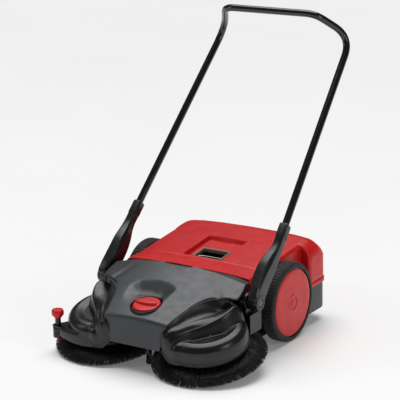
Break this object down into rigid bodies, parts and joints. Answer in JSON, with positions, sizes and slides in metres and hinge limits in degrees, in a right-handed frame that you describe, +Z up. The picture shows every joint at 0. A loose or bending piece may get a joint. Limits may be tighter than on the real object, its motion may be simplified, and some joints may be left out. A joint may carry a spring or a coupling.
{
  "type": "push sweeper",
  "caption": "Walk-behind manual sweeper: tilted disc brushes under a low hood, cross sweeping roller, lift-off rear hopper, large side wheels and a tall U-shaped push handle.",
  "frame": {"origin": "centre of the footprint box on the floor", "axes": "+Z up, -Y towards the front with the disc brushes, +Y towards the person who pushes, +X across the machine"},
  "size_m": [0.7712, 1.0373, 1.06],
  "materials": {
    "black_plastic": "moulded polypropylene, satin gloss",
    "grey_plastic": "moulded polypropylene, fine texture, satin",
    "red_plastic": "moulded polypropylene, satin gloss",
    "tub_plastic": "moulded polyethylene, matte",
    "rim_plastic": "moulded plastic, matte",
    "tyre": "moulded rubber, matte",
    "belt_rubber": "round rubber belt",
    "bristle": "extruded nylon filament",
    "painted_tube": "gloss black powder coat on steel tube",
    "steel": "zinc-plated, turned",
    "nylon": "moulded nylon, natural"
  },
  "bodies": {
    "chassis": {"chassis_frame": "black_plastic", "front_hood": "grey_plastic", "brush_guard_left": "black_plastic", "brush_guard_right": "black_plastic", "brush_carrier_left": "black_plastic", "brush_carrier_right": "black_plastic", "spindle_bush_left": "nylon", "spindle_bush_right": "nylon", "layshaft_bush_left": "nylon", "layshaft_bush_right": "nylon", "stub_axle_left": "steel", "stub_axle_right": "steel", "brush_belt_left": "belt_rubber", "brush_belt_right": "belt_rubber", "roller_belt": "belt_rubber", "knob_well": "black_plastic", "guide_sleeve": "black_plastic", "pivot_bolt_left": "painted_tube", "pivot_bolt_right": "painted_tube"},
    "handle": {"handle_tube": "painted_tube", "handle_socket_left": "black_plastic", "handle_socket_right": "black_plastic"},
    "wheel_left": {"tyre_left": "tyre", "wheel_rim_left": "black_plastic", "wheel_disc_left": "red_plastic"},
    "layshaft_set_left": {"layshaft_left": "steel", "pinion_left": "nylon", "layshaft_pulley_left": "black_plastic", "roller_drive_pulley": "black_plastic"},
    "disc_brush_left": {"bristle_ring_left": "bristle", "brush_plate_left": "black_plastic", "brush_spindle_left": "steel", "brush_pulley_left": "black_plastic"},
    "wheel_right": {"tyre_right": "tyre", "wheel_rim_right": "black_plastic", "wheel_disc_right": "red_plastic"},
    "layshaft_set_right": {"layshaft_right": "steel", "pinion_right": "nylon", "layshaft_pulley_right": "black_plastic"},
    "disc_brush_right": {"bristle_ring_right": "bristle", "brush_plate_right": "black_plastic", "brush_spindle_right": "steel", "brush_pulley_right": "black_plastic"},
    "sweeping_roller": {"roller_shaft": "steel", "roller_core": "black_plastic", "roller_bristles": "bristle", "roller_pulley": "black_plastic"},
    "knob": {"height_knob": "red_plastic", "knob_screw": "steel"},
    "nut": {"height_nut": "nylon", "support_stem": "black_plastic"},
    "support_wheel": {"support_roller": "tyre"},
    "guide": {"guide_roller": "black_plastic"},
    "press": {"press_stem": "red_plastic", "press_knob": "red_plastic"},
    "hopper": {"hopper_tub": "tub_plastic", "hopper_cover": "red_plastic", "grip_rim": "rim_plastic"}
  },
  "joints": [
    {"name": "handle_fold", "type": "hinge", "parent": "chassis", "child": "handle", "pos_m": [0, -0.217, 0.208], "axis": [1, 0, 0], "range_deg": [0, 95]},
    {"name": "wheel_left_turn", "type": "hinge", "parent": "chassis", "child": "wheel_left", "pos_m": [0, 0.02, 0.136], "axis": [1, 0, 0], "continuous": true},
    {"name": "layshaft_left_turn", "type": "hinge", "parent": "chassis", "child": "layshaft_set_left", "pos_m": [0, -0.05681, 0.14955], "axis": [1, 0, 0], "continuous": true},
    {"name": "brush_left_turn", "type": "hinge", "parent": "chassis", "child": "disc_brush_left", "pos_m": [-0.193, -0.336, 0.043], "axis": [0, -0.2164, 0.9763], "continuous": true},
    {"name": "wheel_right_turn", "type": "hinge", "parent": "chassis", "child": "wheel_right", "pos_m": [0, 0.02, 0.136], "axis": [1, 0, 0], "continuous": true},
    {"name": "layshaft_right_turn", "type": "hinge", "parent": "chassis", "child": "layshaft_set_right", "pos_m": [0, -0.05681, 0.14955], "axis": [1, 0, 0], "continuous": true},
    {"name": "brush_right_turn", "type": "hinge", "parent": "chassis", "child": "disc_brush_right", "pos_m": [0.193, -0.336, 0.043], "axis": [0, -0.2164, 0.9763], "continuous": true},
    {"name": "roller_turn", "type": "hinge", "parent": "chassis", "child": "sweeping_roller", "pos_m": [0, -0.078, 0.0615], "axis": [1, 0, 0], "continuous": true},
    {"name": "knob_turn", "type": "hinge", "parent": "chassis", "child": "knob", "pos_m": [0, -0.405, 0.208], "axis": [0, -0.1736, 0.9848], "range_deg": [0, 315]},
    {"name": "nut_travel", "type": "slide", "parent": "chassis", "child": "nut", "axis": [0, 0.1736, -0.9848], "range_m": [0, 0.0137]},
    {"name": "support_roller_turn", "type": "hinge", "parent": "nut", "child": "support_wheel", "pos_m": [0, -0.4, 0.013], "axis": [1, 0, 0], "continuous": true},
    {"name": "guide_roller_turn", "type": "hinge", "parent": "chassis", "child": "guide", "pos_m": [-0.334, -0.447, 0.067], "axis": [0, 0, 1], "continuous": true},
    {"name": "press_pull", "type": "slide", "parent": "chassis", "child": "press", "axis": [0, 0, 1], "range_m": [0, 0.008]},
    {"name": "hopper_lift", "type": "slide", "parent": "chassis", "child": "hopper", "axis": [0, 0, 1], "range_m": [0, 0.24]}
  ],
  "couplings": [
    {"joint": "layshaft_left_turn", "follows": "wheel_left_turn", "ratio": 5.3333},
    {"joint": "brush_left_turn", "follows": "wheel_left_turn", "ratio": 2.963},
    {"joint": "layshaft_right_turn", "follows": "wheel_right_turn", "ratio": 5.3333},
    {"joint": "brush_right_turn", "follows": "wheel_right_turn", "ratio": -2.963},
    {"joint": "roller_turn", "follows": "wheel_left_turn", "ratio": 4.1026},
    {"joint": "nut_travel", "follows": "knob_turn", "m_per_rad": 0.0024737}
  ]
}
